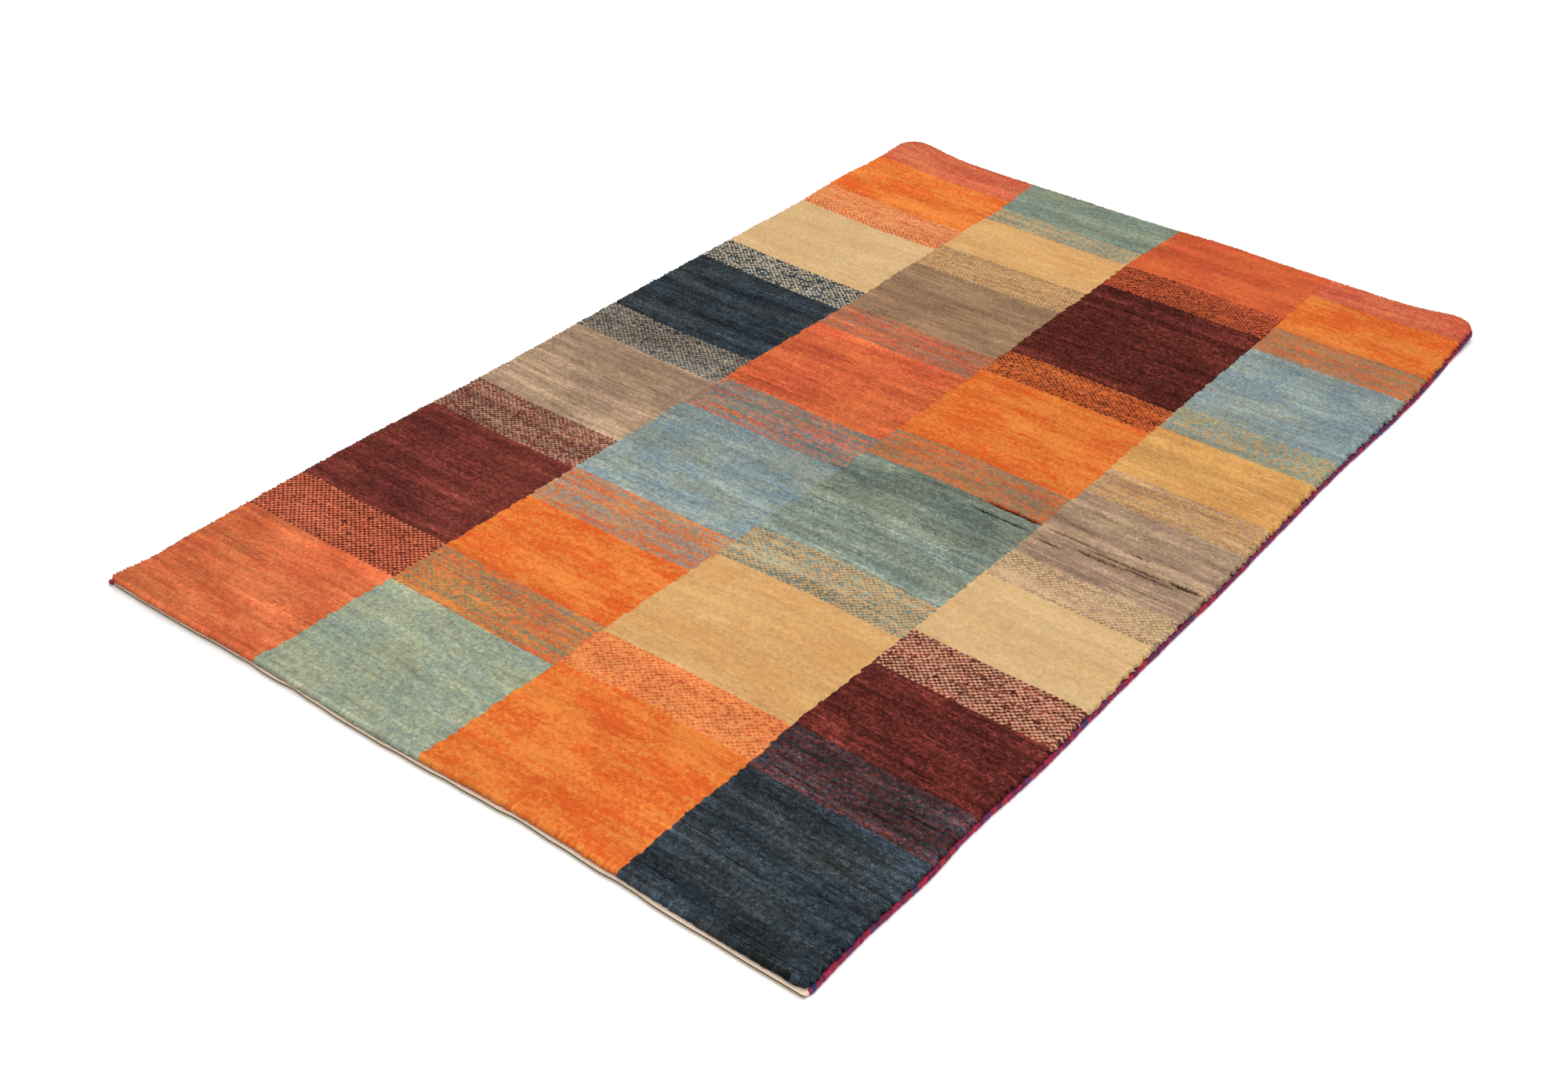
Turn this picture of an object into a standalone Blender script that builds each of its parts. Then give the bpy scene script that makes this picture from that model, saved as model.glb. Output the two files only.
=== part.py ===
"""A hand-knotted lori rug of about 81 x 136 cm, lying flat.

X runs across the rug, +Y along it from the near end to the far end, +Z up, in metres.
The rug is woven in one piece: its woven ground, short pile and turned end hems are one solid.
A wrapped cord of edge warps runs along each long side.
The shapes are laid out from the rug's near left corner and then centred on the origin.
"""

import math

import bmesh
import bpy
import numpy
from mathutils import Vector, noise

# Driving sizes
WIDTH = 0.806  # over the wrapped edges, as a plain rectangle
LENGTH = 1.348  # over the end hems, as a plain rectangle
PILE_TOP = 0.0113  # from the floor to the tips of the pile
HEM_THICKNESS = 0.0048
CORD_WIDTH = 0.0080
CORD_HEIGHT = 0.0060
GAP = 0.0003  # between the rug and each wrapped edge

# How far each edge wanders outwards from that rectangle: place along the edge, distance
LEFT_WANDER = ((0.000, 0.0005), (0.023, -0.0030), (0.120, -0.0020), (0.290, 0.0010),
               (0.490, -0.0010), (0.740, 0.0030), (0.985, 0.0045), (1.080, 0.0045),
               (1.180, 0.0095), (1.340, 0.0040))
RIGHT_WANDER = ((0.000, -0.0020), (0.080, -0.0030), (0.170, -0.0005), (0.210, -0.0020),
                (0.330, 0.0015), (0.500, 0.0015), (0.650, 0.0035), (0.900, 0.0015),
                (1.170, 0.0050), (1.250, 0.0020), (1.340, 0.0015))
NEAR_WANDER = ((0.000, 0.0105), (0.030, 0.0090), (0.060, 0.0095), (0.160, 0.0065),
               (0.240, 0.0050), (0.360, 0.0055), (0.440, 0.0020), (0.520, -0.0010),
               (0.600, 0.0000), (0.720, 0.0015), (0.790, 0.0010))
FAR_WANDER = ((0.020, -0.0200), (0.060, -0.0225), (0.100, -0.0245), (0.170, -0.0240),
              (0.250, -0.0205), (0.330, -0.0180), (0.410, -0.0135), (0.460, -0.0085),
              (0.570, -0.0075), (0.650, -0.0050), (0.710, -0.0035), (0.770, 0.0000))

# Rim of the rug, from the pile's flat top down to the floor: height, reach outwards at the
# long sides, reach outwards at the ends, and share of the hem's stand-out to add to that
RIM = ((PILE_TOP - 0.0007, 0.0030, 0.0030, 0.0),
       (PILE_TOP - 0.0025, 0.0046, 0.0044, 0.0),
       (PILE_TOP - 0.0045, 0.0044, 0.0042, 0.0),
       (HEM_THICKNESS + 0.0005, 0.0022, 0.0032, 0.1),
       (HEM_THICKNESS - 0.0002, 0.0014, 0.0044, 0.5),
       (HEM_THICKNESS / 2.0, 0.0014, 0.0044, 1.0),
       (0.0006, 0.0014, 0.0040, 0.9),
       (0.0000, 0.0014, 0.0036, 0.6))
SIDE_WALL = 0.0014  # the rim's reach where it faces a wrapped edge
END_WALL = 0.0044  # the hem's reach at the ends, without its stand-out
NEAR_STAND_OUT = (0.0015, 0.0050)  # how far the near hem stands out past the pile: left, right
FAR_STAND_OUT = (0.0030, 0.0030)

# Corners: the near ones are square, the far ones are drawn in and curl up
NEAR_RADIUS = 0.004  # of the pile's flat top
FAR_RADIUS = 0.022
FAR_CORD_ANGLE = 50.0  # how far a wrapped edge follows a far corner, in degrees from the side
NEAR_SIDE_ANGLE = 40.0  # up to here a place on the outline counts as a long side
HEM_ANGLE = 84.0  # from here it counts as an end, with the hem's full shape
CORD_START = 0.001  # a wrapped edge starts this far behind the near hem's front
CORD_TAPER = 0.002  # and grows to its full size over this length
CORD_TIP = 0.82  # size of its drawn-in ends
CORNER_LIFT = 0.006
LIFT_REACH = 0.115

# Unevenness of the pile
LUMP_HEIGHT = 0.0005
LUMP_SIZE = (0.16, 0.035)  # longer across the rug than along it, like its rows of knots
# Partings between rows of pile: place along the rug, from, to across it, depth
PARTINGS = ((0.640, 0.560, 0.690, 0.0022), (0.632, 0.690, 0.795, 0.0022), (0.624, 0.672, 0.778, 0.0014))
PARTING_WIDTH = 0.004

SPACING = 0.030  # between the lines of the surface
EDGE_LINES = (0.0, 0.004, 0.008, 0.015, 0.022, 0.036)  # distances of the lines near an edge
CORD_SIDES = 8
LINE_ROOM = 0.0032  # a parting's line takes the place of the lines this near to it
FLAT_ANGLE = 0.02  # faces of the underside that are this close to one plane are joined
SHARP_ANGLE = 60.0  # edges sharper than this are not shaded smooth

RUG_COLOUR = (0.455, 0.185, 0.082, 1.0)
CORD_COLOUR = (0.235, 0.022, 0.040, 1.0)
WOOL_ROUGHNESS = 0.9


def clear_scene():
    for old_object in list(bpy.data.objects):
        bpy.data.objects.remove(old_object, do_unlink=True)


def wool(name, colour):
    material = bpy.data.materials.new(name)
    material.use_nodes = True
    shader = material.node_tree.nodes["Principled BSDF"]
    shader.inputs["Base Color"].default_value = colour
    shader.inputs["Roughness"].default_value = WOOL_ROUGHNESS
    shader.inputs["Metallic"].default_value = 0.0
    return material


def finish_object(name, mesh, material):
    result = bpy.data.objects.new(name, mesh)
    bpy.context.collection.objects.link(result)
    mesh.materials.append(material)
    mesh.shade_smooth()
    mesh.set_sharp_from_angle(angle=math.radians(SHARP_ANGLE))
    return result


def smooth(share):
    share = min(max(share, 0.0), 1.0)
    return share * share * (3.0 - 2.0 * share)


def wander(rows, place):
    """The edge's wander at a place: a smooth curve through the rows of its table."""
    places = numpy.array([row[0] for row in rows])
    reaches = numpy.array([row[1] for row in rows])
    slopes = numpy.gradient(reaches, places)
    before = int(numpy.clip(numpy.searchsorted(places, place) - 1, 0, len(rows) - 2))
    run = places[before + 1] - places[before]
    share = float(numpy.clip((place - places[before]) / run, 0.0, 1.0))
    start = reaches[before] + slopes[before] * run * share * (1.0 - share)
    end = reaches[before + 1] - slopes[before + 1] * run * share * (1.0 - share)
    return float(start + (end - start) * smooth(share))


def rounded_corner(across, along, radius):
    """Distances from a side and an end, with the square corner between them drawn in to an arc."""
    if across >= radius or along >= radius:
        return across, along
    side_share = (radius - across) / radius
    end_share = (radius - along) / radius
    across = radius - radius * side_share * math.sqrt(1.0 - end_share ** 2 / 2.0)
    along = radius - radius * end_share * math.sqrt(1.0 - side_share ** 2 / 2.0)
    return across, along


# The pile's flat top lies this far inside the rug's rectangle
SIDE_INSET = SIDE_WALL + GAP + CORD_WIDTH
END_INSET = END_WALL + FAR_STAND_OUT[0]
CROWN_WIDTH = WIDTH - 2.0 * SIDE_INSET
CROWN_LENGTH = LENGTH - 2.0 * END_INSET


def stand_out(pair, x):
    return pair[0] + (pair[1] - pair[0]) * min(max(x / WIDTH, 0.0), 1.0)


def crown_point(across, along):
    """A point of the pile's flat top, from its distances along a plain rectangle."""
    near_half = along < CROWN_LENGTH / 2.0
    left_half = across < CROWN_WIDTH / 2.0
    from_side = across if left_half else CROWN_WIDTH - across
    from_end = along if near_half else CROWN_LENGTH - along
    radius = NEAR_RADIUS if near_half else FAR_RADIUS
    from_side, from_end = rounded_corner(from_side, from_end, radius)
    x = SIDE_INSET + (from_side if left_half else CROWN_WIDTH - from_side)
    y = END_INSET + (from_end if near_half else CROWN_LENGTH - from_end)
    across_share = (x - SIDE_INSET) / CROWN_WIDTH
    along_share = (y - END_INSET) / CROWN_LENGTH
    x_shift = wander(RIGHT_WANDER, y) * across_share - wander(LEFT_WANDER, y) * (1.0 - across_share)
    near_shift = stand_out(NEAR_STAND_OUT, x) - FAR_STAND_OUT[0] - wander(NEAR_WANDER, x)
    y_shift = wander(FAR_WANDER, x) * along_share + near_shift * (1.0 - along_share)
    return x + x_shift, y + y_shift


FAR_CORNERS = (crown_point(0.0, CROWN_LENGTH), crown_point(CROWN_WIDTH, CROWN_LENGTH))


def lift(x, y):
    """Height of the rug's underside: the floor, but for the two far corners."""
    height = 0.0
    for corner_x, corner_y in FAR_CORNERS:
        distance = math.hypot(x - corner_x, y - corner_y)
        height += CORNER_LIFT * smooth(1.0 - distance / LIFT_REACH) ** 2
    return height


def pile_height(x, y):
    """Height of the pile's tips over the underside, with its lumps and partings."""
    place = Vector((x / LUMP_SIZE[0], y / LUMP_SIZE[1], 0.0))
    height = PILE_TOP + LUMP_HEIGHT * noise.noise(place)
    for parting_y, from_x, to_x, depth in PARTINGS:
        if from_x < x < to_x:
            height -= depth * smooth(1.0 - abs(y - parting_y) / PARTING_WIDTH)
    return height


def surface_lines(size, extra_places=()):
    """Places of the surface's lines from 0 to size, close together near both edges."""
    middle = size - 2.0 * EDGE_LINES[-1]
    steps = round(middle / SPACING)
    lines = list(EDGE_LINES)
    lines += [EDGE_LINES[-1] + middle * step / steps for step in range(1, steps)]
    lines += [size - distance for distance in reversed(EDGE_LINES)]
    for place in extra_places:
        clear = [line for line in lines if abs(line - place) > LINE_ROOM]
        lines = clear + [place]
    return sorted(lines)


def outline_normals(points):
    """Outward directions of a closed outline that runs anticlockwise."""
    normals = []
    for index, (x, y) in enumerate(points):
        x_before, y_before = points[index - 1]
        x_after, y_after = points[(index + 1) % len(points)]
        first = Vector((y - y_before, x_before - x)).normalized()
        second = Vector((y_after - y, x - x_after)).normalized()
        normals.append((first + second).normalized())
    return normals


def rim_step(point, normal, at_near_corner, row):
    """How far a row of the rim lies outside a point of the pile's outline, in x and y."""
    _, side_reach, end_reach, hem_share = row
    pair = FAR_STAND_OUT if normal.y > 0.0 else NEAR_STAND_OUT
    end_reach += hem_share * stand_out(pair, point[0])
    if at_near_corner:
        return math.copysign(side_reach, normal.x), -end_reach
    turn = math.degrees(math.atan2(abs(normal.y), abs(normal.x)))
    start = FAR_CORD_ANGLE if point[1] > LENGTH / 2.0 else NEAR_SIDE_ANGLE
    share = smooth((turn - start) / (HEM_ANGLE - start))
    reach = side_reach + (end_reach - side_reach) * share
    return normal.x * reach, normal.y * reach


def rug_lines():
    parting_places = []
    for parting_y, *_ in PARTINGS:
        along = parting_y - END_INSET
        parting_places += [along - PARTING_WIDTH, along, along + PARTING_WIDTH]
    return surface_lines(CROWN_WIDTH), surface_lines(CROWN_LENGTH, parting_places)


def outline_places(across_count, along_count):
    """Row and column of each point of the outline, anticlockwise from the near left corner."""
    places = [(column, 0) for column in range(across_count - 1)]
    places += [(across_count - 1, row) for row in range(along_count - 1)]
    places += [(column, along_count - 1) for column in range(across_count - 1, 0, -1)]
    places += [(0, row) for row in range(along_count - 1, 0, -1)]
    return places


def make_rug(across_lines, along_lines):
    """The rug's one solid: top of the pile, rounded rim over the hem, and underside."""
    build = bmesh.new()
    across_count = len(across_lines)
    along_count = len(along_lines)
    points = {}
    for column, across in enumerate(across_lines):
        for row, along in enumerate(along_lines):
            points[column, row] = crown_point(across, along)
    places = outline_places(across_count, along_count)
    outline = [points[place] for place in places]
    normals = outline_normals(outline)

    top = {}
    for place, (x, y) in points.items():
        top[place] = build.verts.new((x, y, lift(x, y) + pile_height(x, y)))
    ring = [top[place] for place in places]
    near_corners = ((0, 0), (across_count - 1, 0))
    for rim_row in RIM:
        lower_ring = []
        for place, point, normal in zip(places, outline, normals):
            step_x, step_y = rim_step(point, normal, place in near_corners, rim_row)
            lower_ring.append(build.verts.new((point[0] + step_x, point[1] + step_y,
                                               lift(*point) + rim_row[0])))
        for index in range(len(ring)):
            after = (index + 1) % len(ring)
            build.faces.new((ring[index], lower_ring[index], lower_ring[after], ring[after]))
        ring = lower_ring

    under = dict(zip(places, ring))
    for place, (x, y) in points.items():
        if place not in under:
            under[place] = build.verts.new((x, y, lift(x, y)))
    underside = []
    for column in range(across_count - 1):
        for row in range(along_count - 1):
            corners = ((column, row), (column + 1, row), (column + 1, row + 1), (column, row + 1))
            build.faces.new([top[corner] for corner in corners])
            underside.append(build.faces.new([under[corner] for corner in reversed(corners)]))
    inner_edges = set()
    underside = set(underside)
    for face in underside:
        inner_edges.update(edge for edge in face.edges if underside.issuperset(edge.link_faces))
    bmesh.ops.dissolve_limit(build, angle_limit=math.radians(FLAT_ANGLE), use_dissolve_boundaries=False,
                             verts=[], edges=list(inner_edges))
    bmesh.ops.recalc_face_normals(build, faces=build.faces[:])
    mesh = bpy.data.meshes.new("knotted_rug")
    build.to_mesh(mesh)
    build.free()
    return mesh, dict(zip(places, zip(outline, normals)))


def make_wrapped_edge(name, stations):
    """A wrapped edge: an oval cord along the rug's side, with its ends drawn in."""
    build = bmesh.new()
    rings = []
    for index, ((x, y), normal) in enumerate(stations):
        at_end = index in (0, len(stations) - 1)
        size = CORD_TIP if at_end else 1.0
        reach = SIDE_WALL + GAP + CORD_WIDTH / 2.0
        centre = Vector((x + normal.x * reach, y + normal.y * reach, lift(x, y) + CORD_HEIGHT / 2.0))
        ring = []
        for side in range(CORD_SIDES):
            turn = 2.0 * math.pi * (side + 0.5) / CORD_SIDES
            out = math.cos(turn) / math.cos(math.pi / CORD_SIDES) * CORD_WIDTH / 2.0 * size
            up = math.sin(turn) / math.cos(math.pi / CORD_SIDES) * CORD_HEIGHT / 2.0 * size
            ring.append(build.verts.new((centre.x + normal.x * out, centre.y + normal.y * out,
                                         centre.z + up)))
        rings.append(ring)
    for first, second in zip(rings, rings[1:]):
        for side in range(CORD_SIDES):
            after = (side + 1) % CORD_SIDES
            build.faces.new((first[side], first[after], second[after], second[side]))
    build.faces.new(rings[0])
    build.faces.new(rings[-1])
    bmesh.ops.recalc_face_normals(build, faces=build.faces[:])
    mesh = bpy.data.meshes.new(name)
    build.to_mesh(mesh)
    build.free()
    return mesh


def side_stations(outline, column, along_count):
    """The outline's points and directions beside one long side, as far as its cord goes."""
    (x, y), direction = outline[column, 1]
    start = CORD_START - wander(NEAR_WANDER, x)
    stations = [((x, start), direction), ((x, start + CORD_TAPER), direction)]
    for row in range(1, along_count):
        point, normal = outline[column, row]
        if math.degrees(math.atan2(abs(normal.y), abs(normal.x))) < FAR_CORD_ANGLE:
            stations.append((point, normal))
    return stations


def centre_on_origin(objects):
    bpy.context.view_layer.update()
    corners = [item.matrix_world @ vertex.co for item in objects for vertex in item.data.vertices]
    middle_x = (min(c.x for c in corners) + max(c.x for c in corners)) / 2.0
    middle_y = (min(c.y for c in corners) + max(c.y for c in corners)) / 2.0
    for item in objects:
        item.location = (-middle_x, -middle_y, 0.0)


def main():
    clear_scene()
    across_lines, along_lines = rug_lines()
    rug_mesh, outline = make_rug(across_lines, along_lines)
    rug = finish_object("knotted_rug", rug_mesh, wool("rug_wool", RUG_COLOUR))
    objects = [rug]
    for name, column in (("overcast_edge_left", 0), ("overcast_edge_right", len(across_lines) - 1)):
        stations = side_stations(outline, column, len(along_lines))
        mesh = make_wrapped_edge(name, stations)
        objects.append(finish_object(name, mesh, wool(name + "_wool", CORD_COLOUR)))
    centre_on_origin(objects)


main()
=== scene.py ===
import math

import bmesh
import bpy
import numpy
from mathutils import Matrix, Vector, noise


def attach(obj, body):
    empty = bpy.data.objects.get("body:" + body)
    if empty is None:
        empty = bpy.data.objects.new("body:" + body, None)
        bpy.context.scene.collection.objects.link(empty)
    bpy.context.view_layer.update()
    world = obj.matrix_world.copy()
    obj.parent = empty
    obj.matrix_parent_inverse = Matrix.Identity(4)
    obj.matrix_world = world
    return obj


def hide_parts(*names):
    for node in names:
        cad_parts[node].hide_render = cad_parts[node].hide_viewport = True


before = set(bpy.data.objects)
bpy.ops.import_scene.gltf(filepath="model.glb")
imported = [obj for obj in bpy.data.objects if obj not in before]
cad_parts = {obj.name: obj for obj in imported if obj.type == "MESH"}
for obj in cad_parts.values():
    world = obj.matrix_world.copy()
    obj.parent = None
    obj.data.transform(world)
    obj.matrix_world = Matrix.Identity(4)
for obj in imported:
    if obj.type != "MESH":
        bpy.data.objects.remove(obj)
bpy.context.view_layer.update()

print("Frame loaded")

# Studio: the photo's camera, a pale floor and soft light from above
studio = {
    "lens": 44.79,
    "sensorWidth": 36.0,
    "cameraPlace": (0.93846, -1.49321, 1.1064),
    "cameraRight": (0.79662, 0.60259, 0.04778),
    "cameraUp": (-0.37917, 0.43657, 0.81586),
    "floorSize": 16.0,
    "floorDrop": 0.0003,  # keeps the floor clear of the rug's underside
    "floorLooks": {"Base Color": (0.93, 0.93, 0.93, 1.0), "Roughness": 0.9,
                   "Specular IOR Level": 0.1},
    "skyColour": (1.0, 1.0, 1.0, 1.0),
    "skyStrength": 0.62,
    "softboxes": (  # place, side length in metres, power in watts
        ((-0.5, 0.9, 2.4), 2.4, 49.0),
        ((1.0, -0.9, 2.2), 1.6, 29.0),
    ),
}


def placed(name, data):
    thing = bpy.data.objects.new(name, data)
    bpy.context.scene.collection.objects.link(thing)
    return thing


def newMaterial(name, looks):
    material = bpy.data.materials.new(name)
    material.use_nodes = True
    shader = material.node_tree.nodes["Principled BSDF"]
    for socket, value in looks.items():
        shader.inputs[socket].default_value = value
    return material, material.node_tree, shader


def makeCamera():
    camera = bpy.data.cameras.new("photoCamera")
    camera.lens = studio["lens"]
    camera.sensor_fit = "HORIZONTAL"
    camera.sensor_width = studio["sensorWidth"]
    holder = placed("photoCamera", camera)
    right = Vector(studio["cameraRight"]).normalized()
    up = Vector(studio["cameraUp"]).normalized()
    turn = Matrix((right, up, right.cross(up))).transposed().to_4x4()
    holder.matrix_world = Matrix.Translation(studio["cameraPlace"]) @ turn
    bpy.context.scene.camera = holder


def makeLights():
    world = bpy.data.worlds.new("softRoom")
    world.use_nodes = True
    sky = world.node_tree.nodes["Background"]
    sky.inputs["Color"].default_value = studio["skyColour"]
    sky.inputs["Strength"].default_value = studio["skyStrength"]
    bpy.context.scene.world = world
    for number, (place, side, power) in enumerate(studio["softboxes"]):
        light = bpy.data.lights.new(f"softbox{number}", "AREA")
        light.shape = "SQUARE"
        light.size = side
        light.energy = power
        holder = placed(light.name, light)
        holder.location = place
        holder.rotation_euler = Vector(place).to_track_quat("Z", "Y").to_euler()
    bpy.context.scene.view_settings.view_transform = "Standard"


def makeFloor():
    build = bmesh.new()
    bmesh.ops.create_grid(build, x_segments=1, y_segments=1, size=studio["floorSize"] / 2.0)
    bmesh.ops.translate(build, verts=build.verts, vec=(0.0, 0.0, -studio["floorDrop"]))
    mesh = bpy.data.meshes.new("studioFloor")
    build.to_mesh(mesh)
    build.free()
    mesh.materials.append(newMaterial("pale floor", studio["floorLooks"])[0])
    placed("studioFloor", mesh)


makeCamera()
makeLights()
makeFloor()
print("Studio ready")

# The rug's own sizes in metres, laid out from its near left corner
rug = {
    "width": 0.806,
    "length": 1.348,
    "pileTop": 0.0113,
    "hemThickness": 0.0048,
    "groundThickness": 0.0036,
    "sideInset": 0.0097,  # from the outer edge of a wrapped edge to the pile's flat top
    "endInset": 0.0074,
    "nearRadius": 0.004,
    "farRadius": 0.022,
    "nearStandOut": (0.0015, 0.0050),  # of the hem past the pile, at the left and the right
    "farStandOut": (0.0030, 0.0030),
    "cornerLift": 0.006,
    "liftReach": 0.115,
    "lumpHeight": 0.0005,
    "lumpSize": (0.16, 0.035),
    "centre": (0.401043, 0.669212),  # middle of the outline, which is the frame's origin
}
crownWidth = rug["width"] - 2.0 * rug["sideInset"]
crownLength = rug["length"] - 2.0 * rug["endInset"]

# How far each edge wanders outwards from the plain rectangle: place along the edge, distance
leftWander = ((0.000, 0.0005), (0.023, -0.0030), (0.120, -0.0020), (0.290, 0.0010),
              (0.490, -0.0010), (0.740, 0.0030), (0.985, 0.0045), (1.080, 0.0045),
              (1.180, 0.0095), (1.340, 0.0040))
rightWander = ((0.000, -0.0020), (0.080, -0.0030), (0.170, -0.0005), (0.210, -0.0020),
               (0.330, 0.0015), (0.500, 0.0015), (0.650, 0.0035), (0.900, 0.0015),
               (1.170, 0.0050), (1.250, 0.0020), (1.340, 0.0015))
nearWander = ((0.000, 0.0105), (0.030, 0.0090), (0.060, 0.0095), (0.160, 0.0065),
              (0.240, 0.0050), (0.360, 0.0055), (0.440, 0.0020), (0.520, -0.0010),
              (0.600, 0.0000), (0.720, 0.0015), (0.790, 0.0010))
farWander = ((0.020, -0.0200), (0.060, -0.0225), (0.100, -0.0245), (0.170, -0.0240),
             (0.250, -0.0205), (0.330, -0.0180), (0.410, -0.0135), (0.460, -0.0085),
             (0.570, -0.0075), (0.650, -0.0050), (0.710, -0.0035), (0.770, 0.0000))


def smoothStep(share):
    share = numpy.clip(share, 0.0, 1.0)
    return share * share * (3.0 - 2.0 * share)


def wander(rows, places):
    known = numpy.array([row[0] for row in rows])
    reaches = numpy.array([row[1] for row in rows])
    slopes = numpy.gradient(reaches, known)
    before = numpy.clip(numpy.searchsorted(known, places) - 1, 0, len(rows) - 2)
    run = known[before + 1] - known[before]
    share = numpy.clip((places - known[before]) / run, 0.0, 1.0)
    start = reaches[before] + slopes[before] * run * share * (1.0 - share)
    end = reaches[before + 1] - slopes[before + 1] * run * share * (1.0 - share)
    return start + (end - start) * smoothStep(share)


def standOut(pair, x):
    return pair[0] + (pair[1] - pair[0]) * numpy.clip(x / rug["width"], 0.0, 1.0)


def crownPoint(across, along):
    nearHalf = along < crownLength / 2.0
    leftHalf = across < crownWidth / 2.0
    fromSide = numpy.where(leftHalf, across, crownWidth - across)
    fromEnd = numpy.where(nearHalf, along, crownLength - along)
    radius = numpy.where(nearHalf, rug["nearRadius"], rug["farRadius"])
    sideShare = numpy.clip((radius - fromSide) / radius, 0.0, 1.0)
    endShare = numpy.clip((radius - fromEnd) / radius, 0.0, 1.0)
    drawnIn = (sideShare > 0.0) & (endShare > 0.0)
    roundSide = radius - radius * sideShare * numpy.sqrt(1.0 - endShare ** 2 / 2.0)
    roundEnd = radius - radius * endShare * numpy.sqrt(1.0 - sideShare ** 2 / 2.0)
    fromSide = numpy.where(drawnIn, roundSide, fromSide)
    fromEnd = numpy.where(drawnIn, roundEnd, fromEnd)
    x = rug["sideInset"] + numpy.where(leftHalf, fromSide, crownWidth - fromSide)
    y = rug["endInset"] + numpy.where(nearHalf, fromEnd, crownLength - fromEnd)
    acrossShare = (x - rug["sideInset"]) / crownWidth
    alongShare = (y - rug["endInset"]) / crownLength
    xShift = wander(rightWander, y) * acrossShare - wander(leftWander, y) * (1.0 - acrossShare)
    nearShift = standOut(rug["nearStandOut"], x) - rug["farStandOut"][0] - wander(nearWander, x)
    yShift = wander(farWander, x) * alongShare + nearShift * (1.0 - alongShare)
    return x + xShift, y + yShift


farCorners = (crownPoint(0.0, crownLength), crownPoint(crownWidth, crownLength))


def lift(x, y):
    height = 0.0
    for cornerX, cornerY in farCorners:
        distance = numpy.hypot(x - cornerX, y - cornerY)
        height = height + rug["cornerLift"] * smoothStep(1.0 - distance / rug["liftReach"]) ** 2
    return height


# The knots: how many there are, and the uneven places where they stand
knots = {
    "across": 256,
    "along": 466,
    "columnEnds": (0, 64, 130, 198, 256),  # knots at which the four columns of blocks end
    "driftRows": (0, 51, 107, 164, 221, 277, 320, 362, 430, 466),
    "drift": ((61.4, 62.4, 63.4, 62.9, 63.6, 65.0, 66.0, 64.9, 66.2, 62.8),
              (127.5, 128.2, 128.9, 129.4, 130.3, 130.9, 131.3, 130.1, 130.9, 132.2),
              (197.7, 197.6, 197.5, 198.3, 198.7, 199.0, 199.0, 198.0, 198.3, 198.6)),
    "borderJitter": 0.60,  # of a knot, at the borders of the columns
    "borderShares": (0.7, 0.3),  # of that, what pairs of rows share and what each row has alone
    "sway": 0.00025,  # how far knots stand out of line
    "valleyDepth": 0.00060,
    "valleySpread": 0.00045,
    "tipHeight": 0.00110,  # of a tuft's tip over the valleys round it
    "tipSpread": 0.00060,
    "lean": 0.00070,
    "rimSpread": (0.00060, 0.00060, 0.00036),
    "valleyShade": 0.22,  # how much of its deep colour a valley shows, partly the wool's own and partly painted shade
    "shadeSpread": (0.3, 1.7),  # least and most of that
    "shadedFrom": 0.44,  # a tip is shaded where all that is round it is deeper than this
    "tipShade": 0.9,  # of the shade round it
    "seed": 7,
}
# Partings between rows of pile: row of knots, first knot, last knot, depth, rows wide
partings = ((221, 176, 199, 0.0036, 2), (221, 199, 219, 0.0034, 1), (219, 216, 246, 0.0034, 1),
            (219, 244, 257, 0.0036, 2), (216, 213, 232, 0.0034, 1), (217, 231, 250, 0.0034, 1),
            (215, 174, 196, 0.0026, 1), (226, 225, 236, 0.0024, 1), (213, 200, 210, 0.0018, 1))
partingEase = 6.0  # knots over which a parting grows to its depth
# Painted shadow in the partings: a depth past 1 darkens the colour there
partingShade = 2.0

# The pile's rim, a row of it for each line: height, reach at the sides, reach at the ends,
# share of the hem's stand-out
pileRim = ((rug["pileTop"] - 0.0008, 0.0034, 0.0030, 0.2),
           (rug["pileTop"] - 0.0027, 0.0056, 0.0046, 0.35),
           (rug["pileTop"] - 0.0050, 0.0062, 0.0046, 0.35),
           (rug["hemThickness"] + 0.0002, 0.0046, 0.0034, 0.3),
           (rug["hemThickness"] - 0.0018, 0.0016, 0.0008, 0.0))
# How much deep colour each row of the rim shows, partly the wool's own and partly painted shade
# down the pile's side; past 1 it is painted shadow
rimShades = (0.0, 0.08, 0.25, 1.3, 1.6)
# Tufts over the wrapped edges, in metres, and the share of rows with a gap between tufts,
# darkened with painted shade; the tufts' tips are lightened with a painted highlight
sideTeeth = {"gap": 0.0016, "tuft": 0.0008, "drop": 0.0004, "rows": 3, "uneven": 0.0020,
             "gapRows": (2, 3), "gapShare": 0.30, "gapShade": 0.8, "litTips": 0.18}
rimRows = len(pileRim)
cornerTurns = {"near": 45.0, "far": 9.0}  # half the turn of the rim at a corner, in degrees
sideTurns = {"near": 40.0, "far": 50.0}  # up to here the outline counts as a long side
hemTurn = 84.0


def columnPlaces(column, row):
    driftedEnds = [numpy.zeros_like(row, dtype=float)]
    for drift in knots["drift"]:
        driftedEnds.append(numpy.interp(row, knots["driftRows"], drift))
    driftedEnds.append(numpy.full_like(row, knots["across"], dtype=float))
    places = numpy.zeros_like(row, dtype=float)
    ends = knots["columnEnds"]
    for first, last, start, end in zip(ends, ends[1:], driftedEnds, driftedEnds[1:]):
        inside = (column >= first) & (column <= last)
        share = (column - first) / (last - first)
        places = numpy.where(inside, start + (end - start) * share, places)
    return places


def outlinePlaces():
    lastColumn = knots["across"]
    lastRow = knots["along"]
    places = [(column, 0) for column in range(lastColumn)]
    places += [(lastColumn, row) for row in range(lastRow)]
    places += [(column, lastRow) for column in range(lastColumn, 0, -1)]
    places += [(0, row) for row in range(lastRow, 0, -1)]
    return places


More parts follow.
